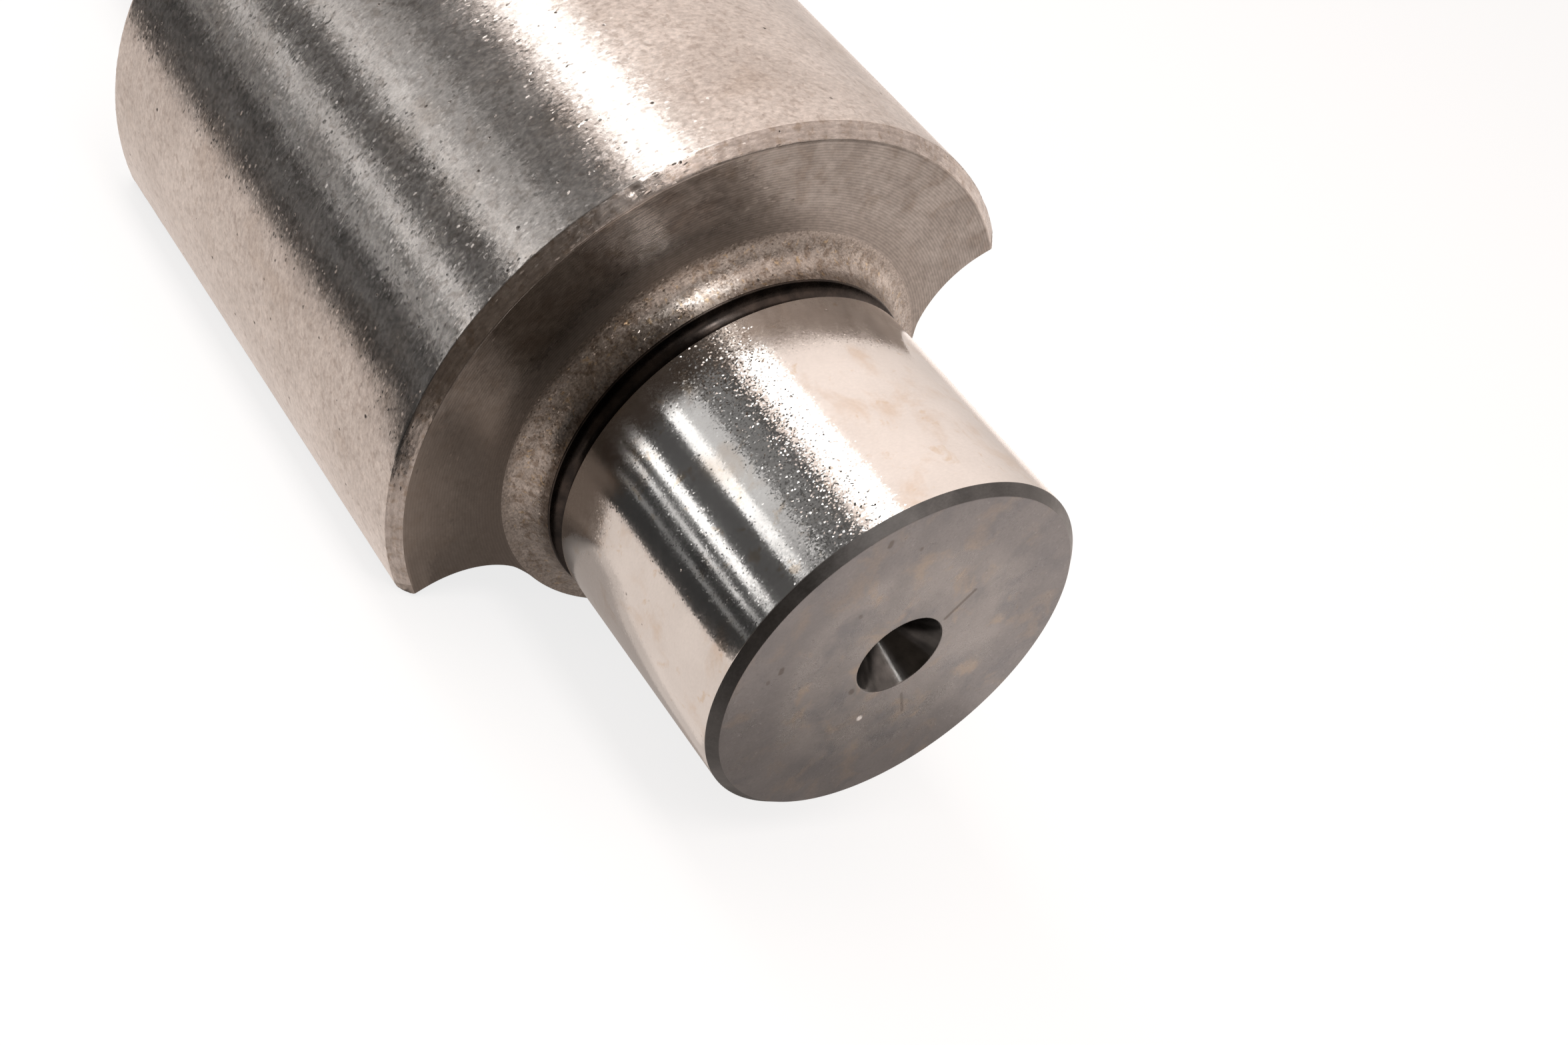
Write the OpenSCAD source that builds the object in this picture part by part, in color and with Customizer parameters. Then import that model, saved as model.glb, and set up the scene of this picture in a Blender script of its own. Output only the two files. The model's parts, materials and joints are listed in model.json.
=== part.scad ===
// Balancer shaft: one steel forging, turned and ground between centres.
// A half-round eccentric lobe sits between two bearing journals, with a plain seat for
// the driving gear behind the rear journal. Lengths are in millimetres.
// The shaft runs along +X from the front journal. It lies as it comes to rest on a bench,
// on one tip of the lobe and on the round core, so the lobe leans towards +Y.

/* [Journals] */
// Diameter of both bearing journals
journal_d = 40; // [30:0.5:50]
// Length of the front journal, from the end face to the undercut
front_journal_l = 27.1; // [18:0.1:45]
// Length of the rear journal, from the gear seat's shoulder to the undercut
rear_journal_l = 27.1; // [18:0.1:45]
// Chamfer on the outer end of each journal
journal_chamfer = 0.9; // [0.3:0.1:2]

/* [Undercut and collar] */
// Width of the grinding undercut beside each journal
undercut_w = 2.2; // [1:0.1:3]
// Depth of the undercut below the journal
undercut_depth = 1.2; // [0.3:0.1:2.5]
// How far the collar stands above the journal, on the radius
collar_step = 0.2; // [0.1:0.1:1.5]
// Length of the collar between the undercut and the lobe
collar_l = 3.4; // [1:0.1:8]
// Fillet between the collar and the face of the lobe
collar_fillet = 3.2; // [0.5:0.1:6]

/* [Lobe] */
// Diameter that the lobe is turned to
lobe_d = 69.4; // [64:0.1:90]
// Length of the lobe
lobe_l = 68.9; // [40:0.1:120]
// Chamfer on the lobe's rim, along the shaft
rim_chamfer_l = 1.3; // [0.3:0.1:4]
// Chamfer on the lobe's rim, on the radius
rim_chamfer_r = 1.2; // [0.3:0.1:4]
// How far the core stands above the journals, on the radius
core_step = 3.5; // [2:0.1:5]
// Height of the lobe's flat underside above the shaft's axis
underside_h = 1.2; // [0.2:0.1:6]
// Chamfer along the tips of the lobe
tip_chamfer = 0.8; // [0.3:0.1:2]
// Fillet between the underside and the core
flank_fillet = 10; // [4:0.5:16]

/* [Gear seat] */
// How far the gear seat lies below the journal, on the radius
seat_step = 4; // [1:0.5:6]
// Length of the gear seat
seat_l = 24; // [12:0.5:50]
// Lead-in chamfer on the gear seat
seat_chamfer = 1.5; // [0.5:0.1:3]

/* [Machining centres] */
// Diameter of the centre hole at the end face
centre_mouth_d = 9.3; // [6.5:0.1:12]
// Diameter of the pilot drilling below the cone
centre_pilot_d = 4; // [2:0.1:6]
// Length of the pilot drilling below the cone
centre_pilot_l = 4.5; // [2:0.1:10]

/* [Hidden] */
$fn = 128;
// Overlap that keeps cuts and joins clear of shared faces
lap = 1;
// Included angles of the centre's cone and of the drill's point
centre_angle = 60;
drill_angle = 118;

journal_r = journal_d / 2;
collar_r = journal_r + collar_step;
core_r = journal_r + core_step;
seat_r = journal_r - seat_step;
lobe_r = lobe_d / 2;

// Stations along the shaft, from the front end face
front_face = front_journal_l + undercut_w + collar_l;
rear_face = front_face + lobe_l;
seat_start = rear_face + collar_l + undercut_w + rear_journal_l;
shaft_l = seat_start + seat_l;
front_journal_middle = (journal_chamfer + front_journal_l) / 2;

// The collar's fillet ends on the core, and within the collar's length
collar_fillet_r = min(collar_fillet, collar_l, core_step - collar_step);

// The lobe's tip, before its chamfer and at the chamfer's two edges
tip_x = sqrt(lobe_r * lobe_r - underside_h * underside_h);
tip_inner = [tip_x - tip_chamfer, underside_h];
tip_rise = tip_inner.y - tip_inner.x;
tip_outer_x = (sqrt(2 * lobe_r * lobe_r - tip_rise * tip_rise) - tip_rise) / 2;
tip_outer = [tip_outer_x, tip_outer_x + tip_rise];

// The flank's fillet touches the underside and the core, and starts inside the tip
flank_room = (tip_inner.x * tip_inner.x - core_r * core_r + underside_h * underside_h)
    / (2 * (core_r + underside_h));
flank_r = min(flank_fillet, flank_room);
flank_y = underside_h - flank_r;
flank_x = sqrt(pow(core_r + flank_r, 2) - flank_y * flank_y);

// Lean of the lobe from upright, with the core and the tip on one level
function floor_angle(p) = atan2(p.y, p.x) - acos(core_r / norm(p));
lobe_lean = 90 + min(floor_angle(tip_inner), floor_angle(tip_outer));

// Half section of one bearing end, from its outer end at 0 to inside the lobe
module bearing_end_profile(journal_l) {
    face = journal_l + undercut_w + collar_l;
    difference() {
        union() {
            polygon([
                [0, 0],
                [journal_r - journal_chamfer, 0],
                [journal_r, journal_chamfer],
                [journal_r, journal_l + undercut_w / 2],
                [0, journal_l + undercut_w / 2],
            ]);
            translate([0, journal_l])
                square([collar_r, undercut_w + collar_l + lap]);
            difference() {
                translate([0, face - collar_fillet_r])
                    square([collar_r + collar_fillet_r, collar_fillet_r + lap]);
                translate([collar_r + collar_fillet_r, face - collar_fillet_r])
                    circle(r = collar_fillet_r);
            }
        }
        translate([journal_r - undercut_depth, journal_l])
            undercut_profile();
    }
}

// Round-bottomed undercut, open outwards
module undercut_profile() {
    bottom_r = undercut_w / 2;
    translate([bottom_r, bottom_r])
        circle(r = bottom_r);
    translate([bottom_r, 0])
        square([undercut_depth + collar_step, undercut_w]);
}

// Half section of the gear seat, from the rear journal to the end
module gear_seat_profile() {
    polygon([
        [0, -lap],
        [seat_r, -lap],
        [seat_r, seat_l - seat_chamfer],
        [seat_r - seat_chamfer, seat_l],
        [0, seat_l],
    ]);
}

// Everything that is round about the shaft's axis
module turned_shaft() {
    rotate_extrude() {
        bearing_end_profile(front_journal_l);
        translate([0, front_face])
            square([core_r, lobe_l]);
        translate([0, seat_start])
            mirror([0, 1])
                bearing_end_profile(rear_journal_l);
        translate([0, seat_start])
            gear_seat_profile();
    }
}

// Section of the lobe before turning: the half above the underside, and the two flanks
module lobe_section() {
    out = lobe_r + lap;
    polygon([
        [-tip_inner.x, underside_h],
        tip_inner,
        [out, out + tip_rise],
        [out, out],
        [-out, out],
        [-out, out + tip_rise],
    ]);
    for (side = [0, 1])
        mirror([side, 0])
            difference() {
                polygon([
                    [0, 0],
                    [flank_x, flank_y],
                    [flank_x, underside_h + lap],
                    [0, underside_h + lap],
                ]);
                translate([flank_x, flank_y])
                    circle(r = flank_r);
            }
}

// The eccentric lobe, with its faces, rim and chamfers turned
module lobe() {
    intersection() {
        translate([0, 0, front_face - lap])
            linear_extrude(lobe_l + 2 * lap)
                lobe_section();
        rotate_extrude()
            translate([0, front_face])
                polygon([
                    [0, 0],
                    [lobe_r - rim_chamfer_r, 0],
                    [lobe_r, rim_chamfer_l],
                    [lobe_r, lobe_l - rim_chamfer_l],
                    [lobe_r - rim_chamfer_r, lobe_l],
                    [0, lobe_l],
                ]);
    }
}

// Centre drilling, with its mouth at 0 and its point upwards
module centre_hole() {
    mouth_r = centre_mouth_d / 2;
    pilot_r = centre_pilot_d / 2;
    cone_l = (mouth_r - pilot_r) / tan(centre_angle / 2);
    point_l = pilot_r / tan(drill_angle / 2);
    rotate_extrude()
        polygon([
            [0, -lap],
            [mouth_r + lap * tan(centre_angle / 2), -lap],
            [pilot_r, cone_l],
            [pilot_r, cone_l + centre_pilot_l],
            [0, cone_l + centre_pilot_l + point_l],
        ]);
}

module balancer_shaft() {
    color([0.64, 0.6, 0.57])
        rotate([-lobe_lean, 0, 0])
            rotate([90, 0, 90])
                translate([0, 0, -front_journal_middle])
                    difference() {
                        union() {
                            turned_shaft();
                            lobe();
                        }
                        centre_hole();
                        translate([0, 0, shaft_l])
                            mirror([0, 0, 1])
                                centre_hole();
                    }
}

balancer_shaft();
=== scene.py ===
"""Balancer shaft: the turned and ground steel shaft, its finishes, and a small studio.

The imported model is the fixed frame. One finely cut skin stands for the shaft's solid: every
ring of it is a station along the shaft, every column a place round the lobe's section.
"""
import json
import logging
import math
from dataclasses import dataclass, field
from enum import IntEnum
from typing import Any, Iterable, Sequence

import bpy
import numpy as np
from mathutils import Matrix, Vector


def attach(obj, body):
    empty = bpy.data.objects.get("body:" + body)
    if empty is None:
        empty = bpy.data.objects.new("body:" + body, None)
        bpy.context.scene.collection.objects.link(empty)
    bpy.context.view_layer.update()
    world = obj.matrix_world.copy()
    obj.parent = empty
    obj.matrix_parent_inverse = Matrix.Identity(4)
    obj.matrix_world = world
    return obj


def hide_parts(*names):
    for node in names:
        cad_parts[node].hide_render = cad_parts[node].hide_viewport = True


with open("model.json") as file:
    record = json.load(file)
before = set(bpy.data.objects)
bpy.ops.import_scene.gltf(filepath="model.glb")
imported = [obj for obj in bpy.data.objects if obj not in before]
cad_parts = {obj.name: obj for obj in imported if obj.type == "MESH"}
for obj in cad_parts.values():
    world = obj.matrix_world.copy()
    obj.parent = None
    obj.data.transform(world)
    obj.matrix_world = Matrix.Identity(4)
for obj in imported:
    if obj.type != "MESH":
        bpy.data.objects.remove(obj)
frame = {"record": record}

log = logging.getLogger("balancer_shaft")

MM = 0.001
RGB = tuple[float, float, float]
XYZ = tuple[float, float, float]
XY = tuple[float, float]

# Points beside a rounding lie this share of its radius away, and it has this many cuts.
ROUND_LEAD = 0.5
ROUND_CUTS = 3
# Radius between the journal's and the lobe's, at which marks have their true length.
MIDDLE_RADIUS = 27.0
# On faces across the shaft the radius stands for the length, at this slant.
FACE_SLANT = 1.37
# Most facets lie nearly level: the tilt grows with this power of the chance.
FACET_GAIN = 1.7
FACET_POWER = 4.0
# Range of the noise that goes from one tone, or one shine, to the other.
CLOUD_RANGE = (0.36, 0.64)
PATCHES_OF_SHINE = 1.7
PIT_DULLNESS = 0.3
PIT_DEPTH = 0.12
QUARTER_TURN = 0.25
# Height of the cards that lie on the floor, in millimetres.
TABLE = -23.3


class Zone(IntEnum):
    """Parts of the shaft's skin that were finished in different ways."""

    CENTRE = 0
    END_FACE = 1
    END_CHAMFER = 2
    JOURNAL = 3
    UNDERCUT = 4
    COLLAR = 5
    LOBE_FACE = 6
    RIM = 7
    LOBE = 8
    FORGED = 9
    SEAT = 10


# A corner's station, radius and rounding, the finish after it, and the cuts of the line after it.
Corner = tuple[float, float, float, Zone, int]


# Sizes


@dataclass
class ShaftSizes:
    """Sizes of the shaft in millimetres, as its source has them."""

    journal_r: float
    front_journal_l: float
    rear_journal_l: float
    seat_r: float
    seat_l: float
    journal_chamfer: float = 0.9
    undercut_w: float = 2.2
    undercut_depth: float = 1.2
    collar_step: float = 0.2
    collar_l: float = 3.4
    collar_fillet: float = 3.2
    lobe_r: float = 34.7
    lobe_l: float = 68.9
    rim_chamfer_l: float = 1.3
    rim_chamfer_r: float = 1.2
    core_step: float = 3.5
    underside_h: float = 1.2
    tip_chamfer: float = 0.8
    flank_r: float = 10.0
    seat_chamfer: float = 1.5
    centre_mouth_r: float = 4.65
    centre_pilot_r: float = 2.0
    centre_pilot_l: float = 4.5
    centre_half_angle: float = 30.0
    drill_half_angle: float = 59.0

    @classmethod
    def from_record(cls, record: dict[str, Any]) -> "ShaftSizes":
        """Takes the mating sizes from the record's mounts.

        Args:
            record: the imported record.

        Returns:
            The shaft's sizes, with everything else at its default.
        """
        dims = {mount["name"]: mount["dims"] for mount in record["mounts"]}
        return cls(
            journal_r=dims["front_journal"]["r_mm"],
            front_journal_l=dims["front_journal"]["length_mm"] + cls.journal_chamfer,
            rear_journal_l=dims["rear_journal"]["length_mm"] + cls.journal_chamfer,
            seat_r=dims["gear_seat"]["r_mm"],
            seat_l=dims["gear_seat"]["length_mm"] + cls.seat_chamfer,
        )

    @property
    def collar_r(self) -> float:
        """Radius of the collar."""
        return self.journal_r + self.collar_step

    @property
    def core_r(self) -> float:
        """Radius of the round core under the lobe."""
        return self.journal_r + self.core_step

    @property
    def front_face(self) -> float:
        """Station of the lobe's front face."""
        return self.front_journal_l + self.undercut_w + self.collar_l

    @property
    def rear_face(self) -> float:
        """Station of the lobe's rear face."""
        return self.front_face + self.lobe_l

    @property
    def seat_start(self) -> float:
        """Station where the rear journal ends and the gear seat starts."""
        return self.rear_face + self.collar_l + self.undercut_w + self.rear_journal_l

    @property
    def length(self) -> float:
        """Length of the whole shaft."""
        return self.seat_start + self.seat_l

    @property
    def origin(self) -> float:
        """Station of the row's origin, the middle of the front journal."""
        return (self.journal_chamfer + self.front_journal_l) / 2

    @property
    def tip_inner(self) -> np.ndarray:
        """Inner edge of the chamfer on the lobe's tip, in the section."""
        tip_x = math.sqrt(self.lobe_r**2 - self.underside_h**2)
        return np.array([tip_x - self.tip_chamfer, self.underside_h])

    @property
    def tip_outer(self) -> np.ndarray:
        """Outer edge of the chamfer on the lobe's tip, in the section."""
        rise = self.tip_inner[1] - self.tip_inner[0]
        x = (math.sqrt(2 * self.lobe_r**2 - rise**2) - rise) / 2
        return np.array([x, x + rise])

    @property
    def flank_centre(self) -> np.ndarray:
        """Centre of the flank's fillet, in the section."""
        y = self.underside_h - self.flank_r
        return np.array([math.sqrt((self.core_r + self.flank_r) ** 2 - y * y), y])

    @property
    def lean(self) -> float:
        """Lean of the lobe from upright, in radians, as the shaft lies on a bench."""

        def floor_angle(p: np.ndarray) -> float:
            """Angle at which this tip and the core lie on one level."""
            return math.atan2(p[1], p[0]) - math.acos(self.core_r / math.hypot(*p))

        lowest = min(floor_angle(self.tip_inner), floor_angle(self.tip_outer))
        return math.pi / 2 + lowest


# The skin's two guide lines: stations along the shaft, and the lobe's section


def rounded(prev: np.ndarray, here: np.ndarray, following: np.ndarray, radius: float,
            steps: int) -> np.ndarray:
    """Rounds one corner of a line.

    Args:
        prev: the point before the corner.
        here: the corner.
        following: the point after the corner.
        radius: radius of the rounding.
        steps: how many short lines it is made of.

    Returns:
        Points along the rounding, with one close beside it at each end.
    """
    back = (prev - here) / np.linalg.norm(prev - here)
    ahead = (following - here) / np.linalg.norm(following - here)
    half = math.acos(float(np.clip(back @ ahead, -1, 1))) / 2
    reach = radius / math.tan(half)
    middle = (back + ahead) / np.linalg.norm(back + ahead)
    centre = here + middle * radius / math.sin(half)
    first, last = here + back * reach, here + ahead * reach
    sweep = math.pi - 2 * half
    points = [first + back * radius * ROUND_LEAD]
    for k in range(steps + 1):
        t = k / steps
        a = math.sin((1 - t) * sweep) / math.sin(sweep)
        b = math.sin(t * sweep) / math.sin(sweep)
        points.append(centre + a * (first - centre) + b * (last - centre))
    points.append(last + ahead * radius * ROUND_LEAD)
    return np.array(points)


def arc(centre: Sequence[float], radius: float, start: float, end: float,
        steps: int) -> np.ndarray:
    """Points on an arc.

    Args:
        centre: the arc's centre.
        radius: its radius.
        start: angle of the first point, in degrees.
        end: angle of the last point, in degrees.
        steps: how many short lines it is made of.

    Returns:
        The points, both ends included.
    """
    a = np.radians(np.linspace(start, end, steps + 1))
    return np.array(centre) + radius * np.stack([np.cos(a), np.sin(a)], axis=1)


@dataclass
class Stations:
    """Stations along the shaft: one ring of the skin at each."""

    x: list[float] = field(default_factory=list)
    radius: list[float] = field(default_factory=list)
    share: list[float] = field(default_factory=list)
    envelope: list[float] = field(default_factory=list)
    edge: list[float] = field(default_factory=list)
    wear: list[float] = field(default_factory=list)
    skin: list[float] = field(default_factory=list)
    zone: list[int] = field(default_factory=list)

    def add(self, x: float, radius: float, zone: Zone, share: float = 0.0,
            envelope: float = 99.0, edge: float = 0.0, wear: float = 0.0,
            skin: float = 0.0) -> None:
        """Adds a ring.

        Args:
            x: station from the front end face.
            radius: radius of the ring where it is round.
            zone: finish of the skin from here to the next ring.
            share: 0 for a round ring, 1 for one that follows the lobe's section.
            envelope: radius that the lobe is turned down to here.
            edge: share of the edge break on the section's unturned sides.
            wear: how far nicks on the rim reach here, from 0 to 1.
            skin: how rough the forged sides are here, from 0 to 1.
        """
        self.x.append(x)
        self.radius.append(radius)
        self.share.append(share)
        self.envelope.append(envelope)
        self.edge.append(edge)
        self.wear.append(wear)
        self.skin.append(skin)
        self.zone.append(int(zone))

    def line(self, corners: Sequence[Corner]) -> None:
        """Adds round rings along a line of corners.

        Args:
            corners: the corners, in order.
        """
        spots = [np.array(c[:2]) for c in corners]
        runs = []
        for k, (_, _, rounding, _, _) in enumerate(corners):
            if rounding and 0 < k < len(corners) - 1:
                runs.append(rounded(spots[k - 1], spots[k], spots[k + 1], rounding, ROUND_CUTS))
            else:
                runs.append(spots[k][None])
        for k, (_, _, _, zone, parts) in enumerate(corners):
            before = corners[k - 1][3] if k else zone
            half = len(runs[k]) // 2
            for n, (x, r) in enumerate(runs[k]):
                self.add(x, r, zone if n >= half else before)
            if k == len(corners) - 1:
                break
            start, end = runs[k][-1], runs[k + 1][0]
            for t in np.linspace(0, 1, parts + 1)[1:-1]:
                self.add(*(start + t * (end - start)), zone)

    def run(self, points: np.ndarray, zone: Zone) -> None:
        """Adds round rings through these points, in one finish."""
        for x, r in points:
            self.add(x, r, zone)

    def mesh(self, origin: float) -> bpy.types.Mesh:
        """The stations as loose points with attributes, in metres.

        Args:
            origin: station of the row's origin.

        Returns:
            A mesh whose point k holds ring k's station and radius.
        """
        x, r = np.array(self.x) - origin, np.array(self.radius)
        points = np.stack([x, r, np.zeros_like(x)], axis=1) * MM
        lengths = {"envelope": self.envelope}
        plain = {"share": self.share, "edge": self.edge, "wear": self.wear,
                 "skin": self.skin, "zone": self.zone}
        return guide_mesh("stations", points, lengths, plain)


@dataclass
class Outline:
    """The lobe's section, from one tip over the lobe to the other and back under the core."""

    sizes: ShaftSizes
    rim_cuts: int = 225
    core_cuts: int = 84
    flank_cuts: int = 20
    tip_cuts: int = 4
    tip_round: float = 0.9
    rim_lead: float = 0.05
    flank_edge: float = 0.2
    core_edge: float = 0.05
    edge_slope: float = 0.3
    ring_lift: float = 4.5
    ring_step: float = 0.1

    def half_flank(self) -> np.ndarray:
        """Points from the tip at +x down its flank, without the core's first point."""
        s = self.sizes
        touch = np.array([s.flank_centre[0], s.underside_h])
        end = math.degrees(math.atan2(-s.flank_centre[1], -s.flank_centre[0]))
        a = math.atan2(s.tip_outer[1], s.tip_outer[0]) + self.rim_lead
        on_rim = s.lobe_r * np.array([math.cos(a), math.sin(a)])
        outer = rounded(on_rim, s.tip_outer, s.tip_inner, self.tip_round, self.tip_cuts)
        inner = rounded(s.tip_outer, s.tip_inner, touch, self.tip_round, self.tip_cuts)
        fillet = arc(s.flank_centre, s.flank_r, 90, end, self.flank_cuts)
        return np.concatenate([outer[1:-1], inner[1:-1], fillet[:-1]])

    def ring_angles(self, flank: np.ndarray) -> np.ndarray:
        """Angles on the round rings for the flank at +x, in degrees.

        Each is the point's own angle, lifted towards the tip so that the face's rows stay
        inside the hollow flank, and kept in falling order.

        Args:
            flank: the flank's points, from the tip to the core.

        Returns:
            One angle for each point.
        """
        lift = self.ring_lift * np.linspace(1, 0, len(flank) + 1)[:-1]
        angles = np.degrees(np.arctan2(flank[:, 1], flank[:, 0])) + lift
        for k in range(1, len(angles)):
            angles[k] = min(angles[k], angles[k - 1] - self.ring_step)
        return angles

    def points(self) -> tuple[np.ndarray, np.ndarray, np.ndarray]:
        """The section's points.

        Returns:
            The points in order, the polar angle that each has on the round rings, and 1 for
            those on the turned rim, 0 for the rest.
        """
        s = self.sizes
        flank = self.half_flank()
        mirrored = flank * [-1, 1]
        first = math.degrees(math.atan2(flank[0][1], flank[0][0]))
        touch = math.degrees(math.atan2(s.flank_centre[1], s.flank_centre[0]))
        rim = arc((0, 0), s.lobe_r, first, 180 - first, self.rim_cuts)[1:-1]
        core = arc((0, 0), s.core_r, 180 - touch, 360 + touch, self.core_cuts)
        loop = np.concatenate([rim, mirrored, core, flank[::-1]])
        down = self.ring_angles(flank)
        turns = np.concatenate([
            np.linspace(down[0], 180 - down[0], self.rim_cuts + 1)[1:-1],
            180 - down,
            np.linspace(180 - touch, 360 + touch, self.core_cuts + 1),
            360 + down[::-1],
        ])
        on_rim = np.zeros(len(loop))
        on_rim[:len(rim)] = 1
        return loop, np.radians(turns), on_rim

    def mesh(self) -> bpy.types.Mesh:
        """The section as loose points with attributes, in metres."""
        loop, turns, on_rim = self.points()
        along = np.roll(loop, -1, axis=0) - np.roll(loop, 1, axis=0)
        along /= np.linalg.norm(along, axis=1)[:, None]
        away = np.stack([along[:, 1], -along[:, 0], np.zeros(len(loop))], axis=1)
        above_core = np.hypot(*loop.T) - self.sizes.core_r
        edge = np.clip(self.edge_slope * above_core, self.core_edge, self.flank_edge)
        edge *= 1 - on_rim
        points = np.column_stack([loop, np.zeros(len(loop))]) * MM
        mesh = guide_mesh("outline", points, {"edge": edge}, {"turn": turns, "rim": on_rim})
        store(mesh, "away", away)
        return mesh


def store(mesh: bpy.types.Mesh, name: str, values: np.ndarray) -> None:
    """Stores numbers, or vectors, on a mesh's points."""
    values = np.asarray(values, float)
    kind, key = ("FLOAT", "value") if values.ndim == 1 else ("FLOAT_VECTOR", "vector")
    mesh.attributes.new(name, kind, "POINT").data.foreach_set(key, values.ravel())


def guide_mesh(name: str, points: np.ndarray, lengths: dict[str, Iterable[float]],
               plain: dict[str, Iterable[float]]) -> bpy.types.Mesh:
    """Loose points that carry numbers, as a guide for the skin.

    Args:
        name: the mesh's name.
        points: places, in metres.
        lengths: attributes in millimetres.
        plain: attributes without a unit.

    Returns:
        The mesh.
    """
    mesh = bpy.data.meshes.new(name)
    mesh.from_pydata(points.tolist(), [], [])
    for key, values in lengths.items():
        store(mesh, key, np.array(list(values), float) * MM)
    for key, values in plain.items():
        store(mesh, key, np.array(list(values), float))
    return mesh


# Node trees


class Tree:
    """Shorthand for building a node tree."""

    def __init__(self, tree: bpy.types.NodeTree) -> None:
        """Takes an empty tree."""
        self.tree = tree

    def node(self, kind: str, inputs: dict[Any, Any] | None = None,
             **settings: Any) -> bpy.types.Node:
        """Adds a node.

        Args:
            kind: the node's type.
            inputs: values or sockets for its inputs, by name or number.
            **settings: the node's own settings.

        Returns:
            The node.
        """
        made = self.tree.nodes.new(kind)
        for key, value in settings.items():
            setattr(made, key, value)
        for key, value in (inputs or {}).items():
            self.feed(made.inputs[key], value)
        return made

    def feed(self, socket: bpy.types.NodeSocket, value: Any) -> None:
        """Links a socket, or sets its value."""
        if isinstance(value, bpy.types.NodeSocket):
            self.tree.links.new(value, socket)
        else:
            socket.default_value = value

    def math(self, operation: str, *values: Any, clamp: bool = False) -> bpy.types.NodeSocket:
        """A sum on numbers."""
        made = self.node("ShaderNodeMath", dict(enumerate(values)), operation=operation,
                         use_clamp=clamp)
        return made.outputs[0]

    def vector(self, operation: str, *values: Any, scale: Any = None,
               out: str = "Vector") -> bpy.types.NodeSocket:
        """A sum on vectors."""
        made = self.node("ShaderNodeVectorMath", dict(enumerate(values)), operation=operation)
        if scale is not None:
            self.feed(made.inputs["Scale"], scale)
        return made.outputs[out]

    def spread(self, value: Any, low: float, high: float, to_low: float = 0.0,
               to_high: float = 1.0, smooth: bool = False) -> bpy.types.NodeSocket:
        """Maps a number from one range to another, held at both ends."""
        kind = "SMOOTHSTEP" if smooth else "LINEAR"
        made = self.node("ShaderNodeMapRange", {
            "Value": value, "From Min": low, "From Max": high, "To Min": to_low,
            "To Max": to_high}, interpolation_type=kind, clamp=True)
        return made.outputs["Result"]

    def noise(self, vector: Any, scale: float, detail: float = 2.0, roughness: float = 0.5,
              distortion: float = 0.0) -> bpy.types.NodeSocket:
        """Cloudy noise, about 0.5 in the middle."""
        made = self.node("ShaderNodeTexNoise", {
            "Vector": vector, "Scale": scale, "Detail": detail, "Roughness": roughness,
            "Distortion": distortion})
        return made.outputs["Fac"]

    def combine(self, x: Any, y: Any, z: Any) -> bpy.types.NodeSocket:
        """A vector from three numbers."""
        return self.node("ShaderNodeCombineXYZ", {0: x, 1: y, 2: z}).outputs[0]

    def separate(self, vector: Any) -> bpy.types.bpy_prop_collection:
        """The three numbers of a vector."""
        return self.node("ShaderNodeSeparateXYZ", {0: vector}).outputs


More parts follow.
